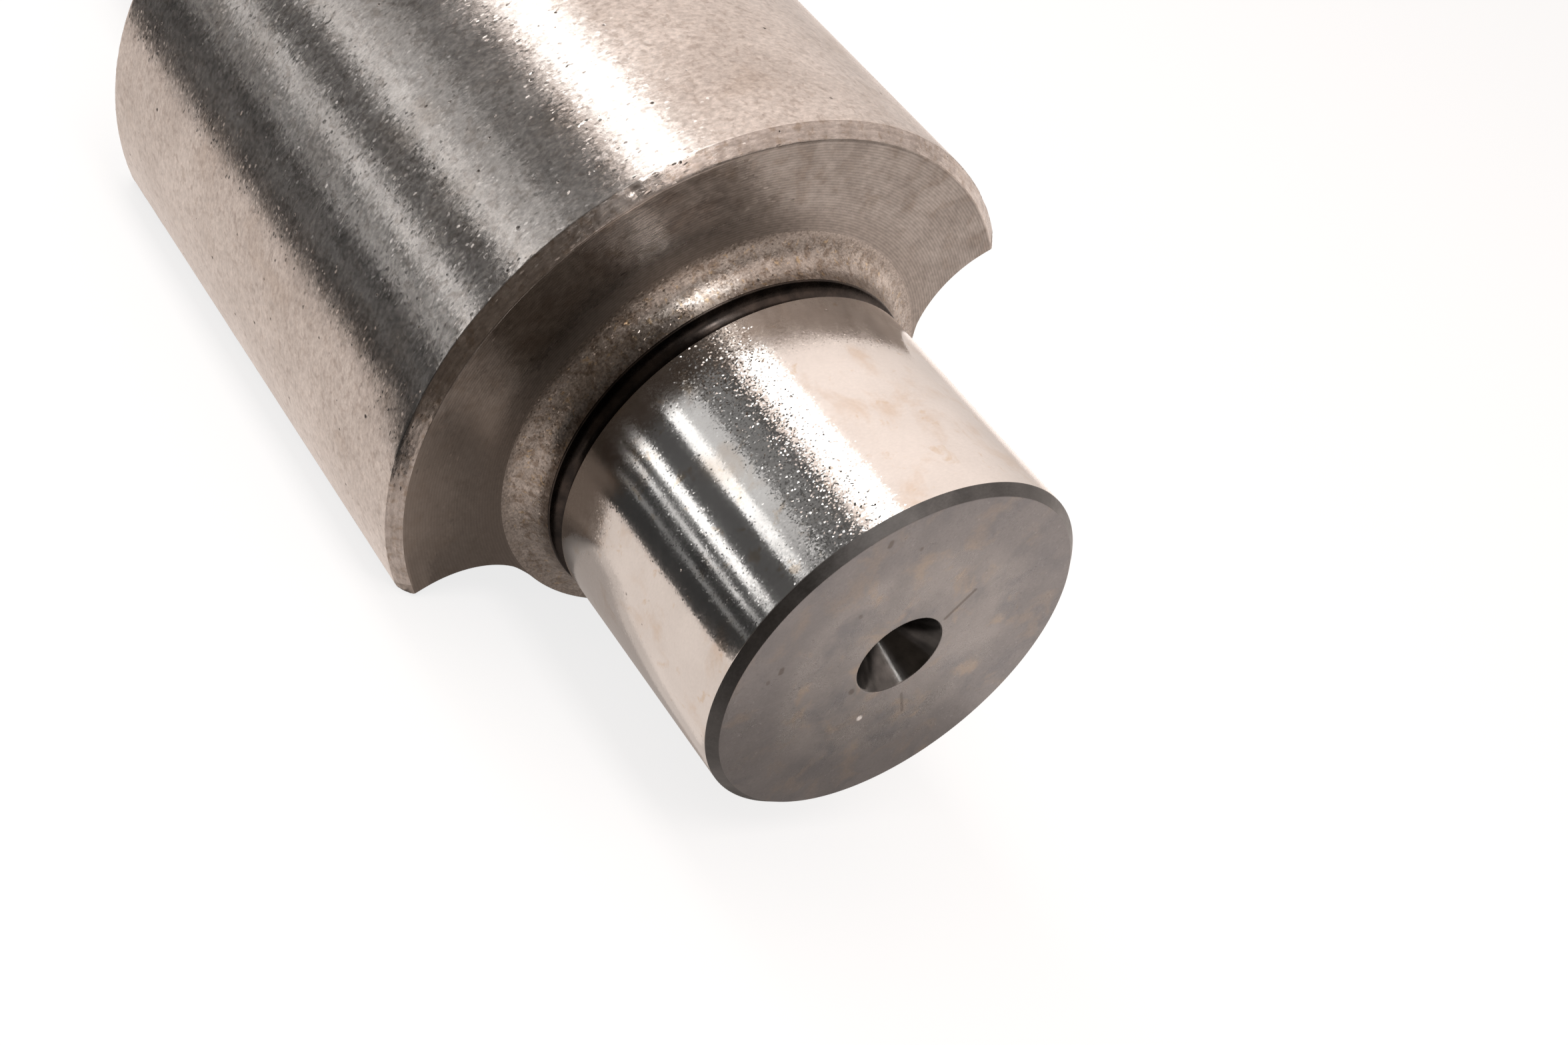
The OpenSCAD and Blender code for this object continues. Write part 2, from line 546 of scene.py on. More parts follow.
@dataclass
class SkinTree:
    """Node tree that lays the skin over the two guides, wears it and dresses it."""

    rings: int
    columns: int
    nick_gap: float = 2.2 * MM
    nick_size: float = 0.7 * MM
    nick_depth: float = 0.13 * MM
    nick_share: float = 0.22
    burr_size: float = 0.9 * MM
    burr_depth: float = 0.05 * MM
    skin_grain: float = 4.0 * MM
    skin_depth: float = 0.22 * MM
    seed: float = 7.3
    weld: float = 2e-7

    INPUTS = ("nick_gap", "nick_size", "nick_depth", "nick_share", "burr_size", "burr_depth",
              "skin_grain", "skin_depth", "seed")

    def build(self, materials: dict[Zone, bpy.types.Material]) -> bpy.types.NodeTree:
        """Builds the tree.

        Args:
            materials: the finish of each zone.

        Returns:
            The tree, with inputs for the guides, the lobe's lean and the wear.
        """
        group = bpy.data.node_groups.new("turned_skin", "GeometryNodeTree")
        sockets = group.interface
        sockets.new_socket("Geometry", in_out="INPUT", socket_type="NodeSocketGeometry")
        sockets.new_socket("Geometry", in_out="OUTPUT", socket_type="NodeSocketGeometry")
        sockets.new_socket("outline", in_out="INPUT", socket_type="NodeSocketObject")
        for name in ("lean", *self.INPUTS):
            sockets.new_socket(name, in_out="INPUT", socket_type="NodeSocketFloat")
        tree = Tree(group)
        given = tree.node("NodeGroupInput").outputs
        skin = self.lay_skin(tree, given)
        skin = self.wear_skin(tree, given, skin)
        skin = tree.node("GeometryNodeRealizeInstances", {"Geometry": skin}).outputs[0]
        zone = self.named(tree, "zone")
        for kind, material in materials.items():
            chosen = tree.math("COMPARE", zone, float(kind), 0.25)
            skin = tree.node("GeometryNodeSetMaterial", {
                "Geometry": skin, "Selection": chosen, "Material": material}).outputs[0]
        tree.node("NodeGroupOutput", {"Geometry": skin})
        return group

    def named(self, tree: Tree, name: str, kind: str = "FLOAT") -> bpy.types.NodeSocket:
        """A stored attribute by its name."""
        made = tree.node("GeometryNodeInputNamedAttribute", {"Name": name}, data_type=kind)
        return made.outputs["Attribute"]

    def pick(self, tree: Tree, guide: bpy.types.NodeSocket, value: bpy.types.NodeSocket,
             index: bpy.types.NodeSocket, kind: str = "FLOAT") -> bpy.types.NodeSocket:
        """A guide's number at one of its points."""
        made = tree.node("GeometryNodeSampleIndex", {
            "Geometry": guide, "Value": value, "Index": index}, data_type=kind)
        return made.outputs["Value"]

    def keep(self, tree: Tree, skin: bpy.types.NodeSocket, name: str, value: Any,
             domain: str) -> bpy.types.NodeSocket:
        """Stores a number on the skin."""
        made = tree.node("GeometryNodeStoreNamedAttribute", {
            "Geometry": skin, "Name": name, "Value": value}, data_type="FLOAT", domain=domain)
        return made.outputs["Geometry"]

    def lay_skin(self, tree: Tree, given: Any) -> bpy.types.NodeSocket:
        """Lays a grid over the stations and the section, and closes it.

        Args:
            tree: the tree that is built.
            given: the tree's inputs.

        Returns:
            The closed skin, with its zones and its shares of wear stored on it.
        """
        stations = given["Geometry"]
        outline = tree.node("GeometryNodeObjectInfo", {"Object": given["outline"]},
                            transform_space="ORIGINAL").outputs["Geometry"]
        grid = tree.node("GeometryNodeMeshGrid", {
            "Vertices X": self.rings, "Vertices Y": self.columns + 1}).outputs["Mesh"]
        index = tree.node("GeometryNodeInputIndex").outputs[0]
        place = tree.node("GeometryNodeInputPosition").outputs[0]

        def split(row: int) -> tuple[bpy.types.NodeSocket, bpy.types.NodeSocket]:
            """Ring and column of a point or a face, for rows of this length."""
            ring = tree.math("FLOOR", tree.math("DIVIDE", tree.math("ADD", index, 0.5), row))
            column = tree.math("SUBTRACT", index, tree.math("MULTIPLY", ring, row))
            return ring, tree.math("MODULO", column, self.columns)

        ring, column = split(self.columns + 1)

        def at_ring(name: str) -> bpy.types.NodeSocket:
            """A station's number, for each point of the grid."""
            return self.pick(tree, stations, self.named(tree, name), ring)

        def at_column(name: str) -> bpy.types.NodeSocket:
            """A number of the section, for each point of the grid."""
            return self.pick(tree, outline, self.named(tree, name), column)

        station = tree.separate(self.pick(tree, stations, place, ring, "FLOAT_VECTOR"))
        spot = self.pick(tree, outline, place, column, "FLOAT_VECTOR")
        away = self.pick(tree, outline, self.named(tree, "away", "FLOAT_VECTOR"), column,
                         "FLOAT_VECTOR")
        inset = tree.math("MULTIPLY", at_column("edge"), at_ring("edge"))
        spot = tree.vector("SUBTRACT", spot, tree.vector("SCALE", away, scale=inset))
        reach = tree.vector("LENGTH", spot, out="Value")
        turned = tree.math("MINIMUM", 1.0, tree.math("DIVIDE", at_ring("envelope"), reach))
        spot = tree.vector("SCALE", spot, scale=turned)
        turn = at_column("turn")
        circle = tree.combine(
            tree.math("MULTIPLY", station["Y"], tree.math("COSINE", turn)),
            tree.math("MULTIPLY", station["Y"], tree.math("SINE", turn)), 0.0)
        mixed = tree.node("ShaderNodeMix", {
            "Factor": at_ring("share"), 4: circle, 5: spot}, data_type="VECTOR").outputs[1]
        section = tree.separate(mixed)
        upright = tree.combine(station["X"], section["X"], section["Y"])
        leant = tree.node("ShaderNodeVectorRotate", {
            "Vector": upright, "Angle": tree.math("MULTIPLY", given["lean"], -1.0)},
            rotation_type="X_AXIS").outputs[0]
        skin = tree.node("GeometryNodeSetPosition", {
            "Geometry": grid, "Position": leant}).outputs[0]

        on_rim = at_column("rim")
        off_rim = tree.math("SUBTRACT", 1.0, on_rim)
        skin = self.keep(tree, skin, "nick", tree.math("MULTIPLY", at_ring("wear"), on_rim),
                         "POINT")
        skin = self.keep(tree, skin, "rough", tree.math("MULTIPLY", at_ring("skin"), off_rim),
                         "POINT")
        ring, column = split(self.columns)
        zone = at_ring("zone")
        sides = tree.math("MULTIPLY", tree.math("LESS_THAN", at_column("rim"), 0.5),
                          tree.math("COMPARE", zone, Zone.RIM + 0.5, 0.75))
        zone = tree.math("ADD", zone, tree.math("MULTIPLY", sides, tree.math(
            "SUBTRACT", float(Zone.FORGED), zone)))
        skin = self.keep(tree, skin, "zone", zone, "FACE")
        skin = tree.node("GeometryNodeMergeByDistance", {
            "Geometry": skin, "Distance": self.weld}).outputs[0]
        skin = tree.node("GeometryNodeFlipFaces", {"Mesh": skin}).outputs[0]
        return tree.node("GeometryNodeSetShadeSmooth", {"Geometry": skin}).outputs[0]

    def wear_skin(self, tree: Tree, given: Any,
                  skin: bpy.types.NodeSocket) -> bpy.types.NodeSocket:
        """Sinks nicks and burrs into the lobe's rim, and roughens the forged sides.

        Args:
            tree: the tree that is built.
            given: the tree's inputs.
            skin: the closed skin.

        Returns:
            The worn skin.
        """
        place = tree.node("GeometryNodeInputPosition").outputs[0]
        shifted = tree.vector("ADD", place, tree.combine(given["seed"], 0.0, 0.0))
        gap = tree.math("DIVIDE", 1.0, given["nick_gap"])
        cells = tree.node("ShaderNodeTexVoronoi", {
            "Vector": shifted, "Scale": gap, "Randomness": 1.0}, feature="F1")
        away = tree.math("MULTIPLY", cells.outputs["Distance"], given["nick_gap"])
        near = tree.math("SUBTRACT", 1.0, tree.math("DIVIDE", away, given["nick_size"]))
        near = tree.spread(near, 0.0, 0.8, smooth=True)
        chance = tree.separate(cells.outputs["Color"])["X"]
        struck = tree.math("LESS_THAN", chance, given["nick_share"])
        nick = tree.math("MULTIPLY", tree.math("MULTIPLY", near, struck), given["nick_depth"])
        burr = tree.noise(shifted, 1.0, 3.0, 0.6)
        tree.feed(burr.node.inputs["Scale"], tree.math("DIVIDE", 1.0, given["burr_size"]))
        burr = tree.math("MULTIPLY", tree.spread(burr, 0.35, 0.75), given["burr_depth"])
        sunk = tree.math("MULTIPLY", tree.math("ADD", nick, burr), self.named(tree, "nick"))
        rough = tree.noise(shifted, 1.0, 4.0, 0.55)
        tree.feed(rough.node.inputs["Scale"], tree.math("DIVIDE", 1.0, given["skin_grain"]))
        rough = tree.math("MULTIPLY", tree.spread(rough, 0.25, 0.75), given["skin_depth"])
        sunk = tree.math("ADD", sunk, tree.math("MULTIPLY", rough, self.named(tree, "rough")))
        inward = tree.vector("SCALE", tree.node("GeometryNodeInputNormal").outputs[0],
                             scale=tree.math("MULTIPLY", sunk, -1.0))
        return tree.node("GeometryNodeSetPosition", {
            "Geometry": skin, "Offset": inward}).outputs[0]


# Finishes


def empty_material(name: str) -> bpy.types.Material:
    """A material with an empty node tree."""
    material = bpy.data.materials.new(name)
    material.use_nodes = True
    material.node_tree.nodes.clear()
    return material


class Graph(Tree):
    """A material's node tree, with the shaft's own coordinates in millimetres."""

    def __init__(self, name: str) -> None:
        """Starts a material with an empty tree."""
        self.material = empty_material(name)
        super().__init__(self.material.node_tree)
        self.metres = self.node("ShaderNodeTexCoord").outputs["Object"]
        self.point = self.vector("SCALE", self.metres, scale=1 / MM)
        parts = self.separate(self.point)
        self.along = parts["X"]
        self.out = self.vector("LENGTH", self.combine(0.0, parts["Y"], parts["Z"]), out="Value")
        self.turn_y = self.math("DIVIDE", parts["Y"], self.out)
        self.turn_z = self.math("DIVIDE", parts["Z"], self.out)
        self.across = self.math("MULTIPLY_ADD", self.out, FACE_SLANT, self.along)

    def lay(self, pitch: float, reach: float) -> bpy.types.NodeSocket:
        """Coordinates for marks that run round the shaft.

        Args:
            pitch: how wide a mark is, in millimetres.
            reach: how far it runs round, in radians.

        Returns:
            A vector in which such a mark is about one unit each way.
        """
        return self.combine(
            self.math("DIVIDE", self.across, pitch),
            self.math("DIVIDE", self.turn_y, reach), self.math("DIVIDE", self.turn_z, reach))

    def blend(self, share: Any, first: Any, second: Any) -> bpy.types.NodeSocket:
        """A colour between two others."""
        made = self.node("ShaderNodeMix", data_type="RGBA")
        self.feed(made.inputs["Factor"], share)
        for key, value in ((6, first), (7, second)):
            self.feed(made.inputs[key], (*value, 1) if isinstance(value, tuple) else value)
        return made.outputs[2]

    def bump(self, height: Any, depth: float, normal: Any = None) -> bpy.types.NodeSocket:
        """A normal from a height between 0 and 1, with its full depth in millimetres."""
        inputs = {"Strength": 1.0, "Distance": depth * MM, "Height": height}
        if normal is not None:
            inputs["Normal"] = normal
        return self.node("ShaderNodeBump", inputs).outputs["Normal"]


@dataclass(frozen=True)
class Grain:
    """Fine uneven grain, a little longer round the shaft than along it."""

    size: float
    stretch: float
    depth: float
    shade: float = 0.0

    def height(self, graph: Graph) -> bpy.types.NodeSocket:
        """Height of the grain, about 0.5 in the middle."""
        span = self.size * self.stretch / MIDDLE_RADIUS
        return graph.noise(graph.lay(self.size, span), 1.0, 3.0, 0.65)


@dataclass(frozen=True)
class Facets:
    """Tiny facets that catch the light one by one, most of them nearly level."""

    size: float
    stretch: float
    tilt: float
    rest: float = 1.0
    side: float = 0.0
    reach: float = 15.0

    def turn(self, graph: Graph, normal: bpy.types.NodeSocket) -> bpy.types.NodeSocket:
        """Tilts a normal by a chance amount on each facet.

        Args:
            graph: the material that is built.
            normal: the level normal.

        Returns:
            The tilted normal.
        """
        span = self.size * self.stretch / MIDDLE_RADIUS
        cells = graph.node("ShaderNodeTexVoronoi", {
            "Vector": graph.lay(self.size, span), "Scale": 1.0, "Randomness": 1.0})
        chance = graph.vector("SUBTRACT", cells.outputs["Color"], (0.5, 0.5, 0.5))
        far = graph.math("MULTIPLY", graph.vector("LENGTH", chance, out="Value"), FACET_GAIN)
        gain = graph.math("MULTIPLY", graph.math("POWER", far, FACET_POWER), self.tilt)
        if self.rest < 1.0:
            gain = graph.math("MULTIPLY", gain, self.worn(graph))
        tilted = graph.vector("ADD", normal, graph.vector("SCALE", chance, scale=gain))
        return graph.vector("NORMALIZE", tilted)

    def worn(self, graph: Graph) -> bpy.types.NodeSocket:
        """1 along the worn side of the shaft, and less on the rest of it."""
        side = math.radians(self.side)
        near = graph.math("ADD", graph.math("MULTIPLY", graph.turn_y, math.cos(side)),
                          graph.math("MULTIPLY", graph.turn_z, math.sin(side)))
        reach = math.radians(self.reach)
        return graph.spread(near, math.cos(reach), math.cos(reach / 4), self.rest, 1.0,
                            smooth=True)


@dataclass(frozen=True)
class Blots:
    """Soft patches of another colour."""

    colour: RGB
    size: float
    edge: float
    soft: float
    share: float
    shift: float = 0.0

    def lay_on(self, graph: Graph, colour: bpy.types.NodeSocket) -> bpy.types.NodeSocket:
        """The colour with the patches on it."""
        place = graph.vector("ADD", graph.point, (self.shift, self.shift, self.shift))
        cloud = graph.noise(place, 1 / self.size, 4.0, 0.6, 0.4)
        patch = graph.spread(cloud, self.edge, self.edge + self.soft, 0.0, self.share,
                             smooth=True)
        return graph.blend(patch, colour, self.colour)


@dataclass(frozen=True)
class Pits:
    """Small dark pits, gathered in places."""

    gap: float
    size: float
    share: float
    colour: RGB = (0.07, 0.06, 0.052)

    def mask(self, graph: Graph) -> bpy.types.NodeSocket:
        """1 in a pit, 0 between them."""
        cells = graph.node("ShaderNodeTexVoronoi", {
            "Vector": graph.point, "Scale": 1 / self.gap, "Randomness": 1.0})
        parts = graph.separate(cells.outputs["Color"])
        size = graph.math("MULTIPLY", parts["Y"], self.size / self.gap)
        ragged = graph.math("MULTIPLY", graph.noise(graph.point, 6.0, 1.0), 0.5)
        ratio = graph.math("ADD", graph.math("DIVIDE", cells.outputs["Distance"], size), ragged)
        inside = graph.spread(ratio, 0.5, 1.2, 1.0, 0.0, smooth=True)
        gathered = graph.spread(graph.noise(graph.point, 0.12, 2.0), 0.4, 0.62, 0.3, 1.0)
        struck = graph.math("LESS_THAN", parts["X"],
                            graph.math("MULTIPLY", gathered, self.share))
        return graph.math("MULTIPLY", inside, struck)


@dataclass(frozen=True)
class Rings:
    """Feed marks of the turning tool, round the axis."""

    pitch: float
    depth: float
    shade: float

    def height(self, graph: Graph) -> bpy.types.NodeSocket:
        """Height of the marks, from 0 to 1."""
        drift = graph.math("MULTIPLY", graph.noise(graph.point, 0.25, 2.0), 0.35)
        turns = graph.math("ADD", graph.math("DIVIDE", graph.out, self.pitch), drift)
        wave = graph.math("SINE", graph.math("MULTIPLY", turns, 2 * math.pi))
        return graph.spread(wave, -1.0, 1.0)


@dataclass(frozen=True)
class Fade:
    """A change to another tone and shine, from one radius to another."""

    start: float
    end: float
    tone: RGB
    rough: float
    most: float = 1.0

    def share(self, graph: Graph) -> bpy.types.NodeSocket:
        """0 at the first radius, the largest share at the second."""
        return graph.spread(graph.out, self.start, self.end, 0.0, self.most, smooth=True)


@dataclass(frozen=True)
class Mark:
    """One scratch, dot or stain, or a patch of painted shade, on a face across the shaft, by its Y
    and Z in millimetres.
    """

    start: tuple[float, float]
    end: tuple[float, float]
    width: float
    colour: RGB
    face: float
    share: float = 0.8

    def lay_on(self, graph: Graph, colour: bpy.types.NodeSocket) -> bpy.types.NodeSocket:
        """The colour with the mark on it."""
        start = (self.face, *self.start)
        run = (0.0, self.end[0] - self.start[0], self.end[1] - self.start[1])
        length = sum(step * step for step in run)
        from_start = graph.vector("SUBTRACT", graph.point, start)
        along = graph.math("DIVIDE", graph.vector("DOT_PRODUCT", from_start, run, out="Value"),
                           length, clamp=True)
        nearest = graph.vector("SCALE", run, scale=along)
        away = graph.vector("DISTANCE", from_start, nearest, out="Value")
        inside = graph.spread(away, self.width * 0.3, self.width, self.share, 0.0, smooth=True)
        return graph.blend(inside, colour, self.colour)


@dataclass(frozen=True)
class SteelFinish:
    """A finish of the bare steel: its colours, its marks and how it shines."""

    name: str
    light: RGB
    dark: RGB
    patch: float
    rough: tuple[float, float]
    anisotropy: float
    grain: Grain
    facets: Facets | None = None
    blots: tuple[Blots, ...] = ()
    pits: Pits | None = None
    rings: Rings | None = None
    marks: tuple[Mark, ...] = ()
    fade: Fade | None = None

    def build(self) -> bpy.types.Material:
        """Makes the finish's material."""
        graph = Graph(self.name)
        grain = self.grain.height(graph)
        pits = self.pits.mask(graph) if self.pits else None
        rings = self.rings.height(graph) if self.rings else None
        shader = graph.node("ShaderNodeBsdfPrincipled", {
            "Base Color": self.colour(graph, grain, pits, rings),
            "Roughness": self.roughness(graph, grain, pits), "Metallic": 1.0,
            "Normal": self.relief(graph, grain, pits, rings),
            "Anisotropic": self.anisotropy, "Anisotropic Rotation": QUARTER_TURN})
        round_way = graph.vector("CROSS_PRODUCT", (1.0, 0.0, 0.0), graph.metres)
        graph.feed(shader.inputs["Tangent"], graph.vector("NORMALIZE", round_way))
        graph.node("ShaderNodeOutputMaterial", {"Surface": shader.outputs[0]})
        return graph.material

    def colour(self, graph: Graph, grain: Any, pits: Any, rings: Any) -> bpy.types.NodeSocket:
        """Colour over the surface.

        Args:
            graph: the material that is built.
            grain: height of the grain.
            pits: where the pits are, if there are any.
            rings: height of the tool's marks, if there are any.

        Returns:
            The colour's socket.
        """
        cloud = graph.noise(graph.point, 1 / self.patch, 4.0, 0.6)
        colour = graph.blend(graph.spread(cloud, *CLOUD_RANGE), self.light, self.dark)
        for blots in self.blots:
            colour = blots.lay_on(graph, colour)
        if self.fade:
            colour = graph.blend(self.fade.share(graph), colour, self.fade.tone)
        if self.grain.shade:
            dark, light = 1.0 - self.grain.shade, 1.0 + self.grain.shade / 2
            shade = graph.spread(grain, 0.3, 0.7, dark, light)
            colour = graph.vector("SCALE", colour, scale=shade)
        if self.rings:
            shade = graph.spread(rings, 0.0, 1.0, 1.0 - self.rings.shade, 1.0)
            colour = graph.vector("SCALE", colour, scale=shade)
        if self.pits:
            colour = graph.blend(pits, colour, self.pits.colour)
        for mark in self.marks:
            colour = mark.lay_on(graph, colour)
        return colour

    def roughness(self, graph: Graph, grain: Any, pits: Any) -> bpy.types.NodeSocket:
        """Roughness over the surface, uneven with the grain and dull in the pits."""
        cloud = graph.noise(graph.point, PATCHES_OF_SHINE / self.patch, 3.0, 0.6)
        mixed = graph.math("ADD", graph.math("MULTIPLY", cloud, 0.6),
                           graph.math("MULTIPLY", grain, 0.4))
        roughness = graph.spread(mixed, *CLOUD_RANGE, *self.rough)
        if self.pits:
            roughness = graph.math("MULTIPLY_ADD", pits, PIT_DULLNESS, roughness)
        if self.fade:
            step = graph.math("SUBTRACT", self.fade.rough, roughness)
            roughness = graph.math("MULTIPLY_ADD", step, self.fade.share(graph), roughness)
        return roughness

    def relief(self, graph: Graph, grain: Any, pits: Any, rings: Any) -> bpy.types.NodeSocket:
        """The fine relief as a normal: facets, grain, the tool's marks and pits."""
        normal = graph.node("ShaderNodeNewGeometry").outputs["Normal"]
        if self.facets:
            normal = self.facets.turn(graph, normal)
        normal = graph.bump(grain, self.grain.depth, normal)
        if self.rings:
            normal = graph.bump(rings, self.rings.depth, normal)
        if self.pits:
            level = graph.math("SUBTRACT", 1.0, pits)
            normal = graph.bump(level, self.pits.size * PIT_DEPTH, normal)
        return normal


def shaft_finishes(front: float, lobe: float) -> dict[Zone, SteelFinish]:
    """The finish of each zone of the shaft.

    Args:
        front: place of the front end face along the shaft, in millimetres.
        lobe: place of the lobe's front face along the shaft, in millimetres.

    Returns:
        The finishes by zone.
    """
    soot, spark = (0.1, 0.085, 0.075), (0.95, 0.93, 0.92)
    end_marks = (
        Mark((-2.66, 4.61), (-3.95, 8.16), 0.3, soot, front),
        Mark((-4.23, -4.92), (-6.23, -7.26), 0.22, soot, front, 0.6),
        Mark((11.84, 13.34), (11.7, 12.9), 0.4, soot, front),
        Mark((14.48, -1.5), (14.3, -1.9), 0.4, soot, front),
        Mark((3.18, -4.43), (3.0, -4.6), 0.45, soot, front),
        Mark((9.15, 4.82), (9.0, 4.7), 0.3, soot, front, 0.6),
        Mark((15.14, -3.01), (15.0, -3.2), 0.3, soot, front, 0.6),
        Mark((7.45, 12.81), (7.4, 12.7), 0.3, soot, front, 0.6),
        Mark((-0.79, -8.09), (-0.7, -8.0), 0.42, spark, front),
    )
    # Darker lower part of the lobe's front face, towards the floor: painted shade, the shadowed floor
    # under the journal as the face mirrors it.
    face_painted_shade = Mark((28.5, -9.0), (21.0, -21.0), 14.0, (0.125, 0.104, 0.088), lobe, 0.75)
    return {
        Zone.JOURNAL: SteelFinish(
            name="ground_journal", light=(0.74, 0.715, 0.69), dark=(0.68, 0.655, 0.63), patch=7.0,
            rough=(0.1, 0.17), anisotropy=0.6, grain=Grain(0.2, 2.5, 0.0012, 0.04),
            facets=Facets(0.14, 1.6, 0.19, 0.11, 42.0, 14.0),
            blots=(Blots((0.62, 0.515, 0.42), 6.0, 0.52, 0.2, 0.6),
                   Blots((0.6, 0.47, 0.33), 2.2, 0.6, 0.12, 0.5, 4.4)),
            pits=Pits(1.6, 0.3, 0.12, (0.25, 0.22, 0.2))),
        Zone.SEAT: SteelFinish(
            name="ground_seat", light=(0.66, 0.635, 0.61), dark=(0.58, 0.56, 0.54), patch=6.0,
            rough=(0.2, 0.3), anisotropy=0.7, grain=Grain(0.25, 3.0, 0.003, 0.06),
            facets=Facets(0.25, 2.0, 0.03)),
        Zone.LOBE: SteelFinish(
            name="satin_lobe", light=(0.645, 0.6, 0.565), dark=(0.54, 0.495, 0.46), patch=8.0,
            rough=(0.18, 0.27), anisotropy=0.3, grain=Grain(0.4, 1.3, 0.0105, 0.25),
            facets=Facets(0.2, 1.3, 0.055),
            blots=(Blots((0.34, 0.29, 0.255), 0.9, 0.48, 0.2, 0.52),
                   Blots((0.42, 0.35, 0.29), 7.0, 0.52, 0.2, 0.35, 3.7)),
            pits=Pits(1.3, 0.3, 0.35)),
        Zone.LOBE_FACE: SteelFinish(
            name="turned_face", light=(0.345, 0.312, 0.286), dark=(0.26, 0.23, 0.208), patch=4.0,
            rough=(0.16, 0.25), anisotropy=0.3, grain=Grain(0.5, 1.6, 0.004, 0.22),
            facets=Facets(0.25, 1.5, 0.03), blots=(Blots((0.24, 0.2, 0.17), 2.0, 0.5, 0.2, 0.6),),
            pits=Pits(1.8, 0.3, 0.2, (0.12, 0.1, 0.085)), rings=Rings(0.29, 0.0011, 0.2),
            marks=(face_painted_shade,), fade=Fade(27.5, 24.0, (0.3, 0.265, 0.238), 0.36)),
        Zone.RIM: SteelFinish(
            name="rim_chamfer", light=(0.46, 0.418, 0.39), dark=(0.35, 0.31, 0.283), patch=1.6,
            rough=(0.2, 0.29), anisotropy=0.2, grain=Grain(0.3, 1.8, 0.009, 0.25),
            facets=Facets(0.25, 1.4, 0.1), blots=(Blots((0.26, 0.2, 0.15), 0.9, 0.5, 0.2, 0.6),),
            pits=Pits(1.4, 0.35, 0.25), rings=Rings(0.42, 0.004, 0.12)),
        Zone.COLLAR: SteelFinish(
            name="turned_collar", light=(0.43, 0.385, 0.35), dark=(0.31, 0.272, 0.243), patch=1.6,
            rough=(0.24, 0.36), anisotropy=0.2, grain=Grain(0.3, 1.2, 0.016, 0.45),
            facets=Facets(0.22, 1.2, 0.13),
            blots=(Blots((0.2, 0.155, 0.12), 0.9, 0.47, 0.16, 0.75),
                   Blots((0.5, 0.37, 0.22), 0.7, 0.58, 0.1, 0.6, 5.3)),
            pits=Pits(1.8, 0.3, 0.25), fade=Fade(22.2, 23.4, (0.36, 0.316, 0.282), 0.32)),
        # The groove's near-black colour is painted shade: it stands for the shade and dark
        # reflections down in the undercut.
        Zone.UNDERCUT: SteelFinish(
            name="undercut", light=(0.055, 0.044, 0.038), dark=(0.026, 0.022, 0.02), patch=2.0,
            rough=(0.2, 0.32), anisotropy=0.5, grain=Grain(0.3, 2.0, 0.004, 0.1)),
        Zone.END_FACE: SteelFinish(
            name="end_face", light=(0.25, 0.237, 0.231), dark=(0.198, 0.19, 0.187), patch=5.0,
            rough=(0.24, 0.34), anisotropy=0.2, grain=Grain(0.35, 1.3, 0.003, 0.08),
            facets=Facets(0.3, 1.2, 0.05),
            blots=(Blots((0.145, 0.146, 0.155), 5.0, 0.48, 0.2, 0.7, 8.1),
                   Blots((0.3, 0.25, 0.203), 4.0, 0.51, 0.18, 0.8, 1.3)),
            pits=Pits(2.4, 0.25, 0.15), marks=end_marks,
            fade=Fade(11.6, 14.8, (0.145, 0.14, 0.143), 0.3, 0.5)),
        Zone.END_CHAMFER: SteelFinish(
            name="end_chamfer", light=(0.12, 0.118, 0.117), dark=(0.09, 0.089, 0.088), patch=3.0,
            rough=(0.36, 0.5), anisotropy=0.3, grain=Grain(0.3, 1.5, 0.006, 0.15)),
        Zone.CENTRE: SteelFinish(
            name="centre_hole", light=(0.11, 0.106, 0.102), dark=(0.06, 0.058, 0.056), patch=2.0,
            rough=(0.14, 0.22), anisotropy=0.6, grain=Grain(0.3, 2.0, 0.003, 0.1)),
        Zone.FORGED: SteelFinish(
            name="forged_sides", light=(0.34, 0.3, 0.27), dark=(0.2, 0.175, 0.155), patch=5.0,
            rough=(0.36, 0.52), anisotropy=0.0, grain=Grain(0.6, 1.0, 0.035, 0.3),
            facets=Facets(0.5, 1.0, 0.1), blots=(Blots((0.2, 0.14, 0.1), 8.0, 0.5, 0.2, 0.6),),
            pits=Pits(3.0, 0.6, 0.3)),
    }


# The shaft


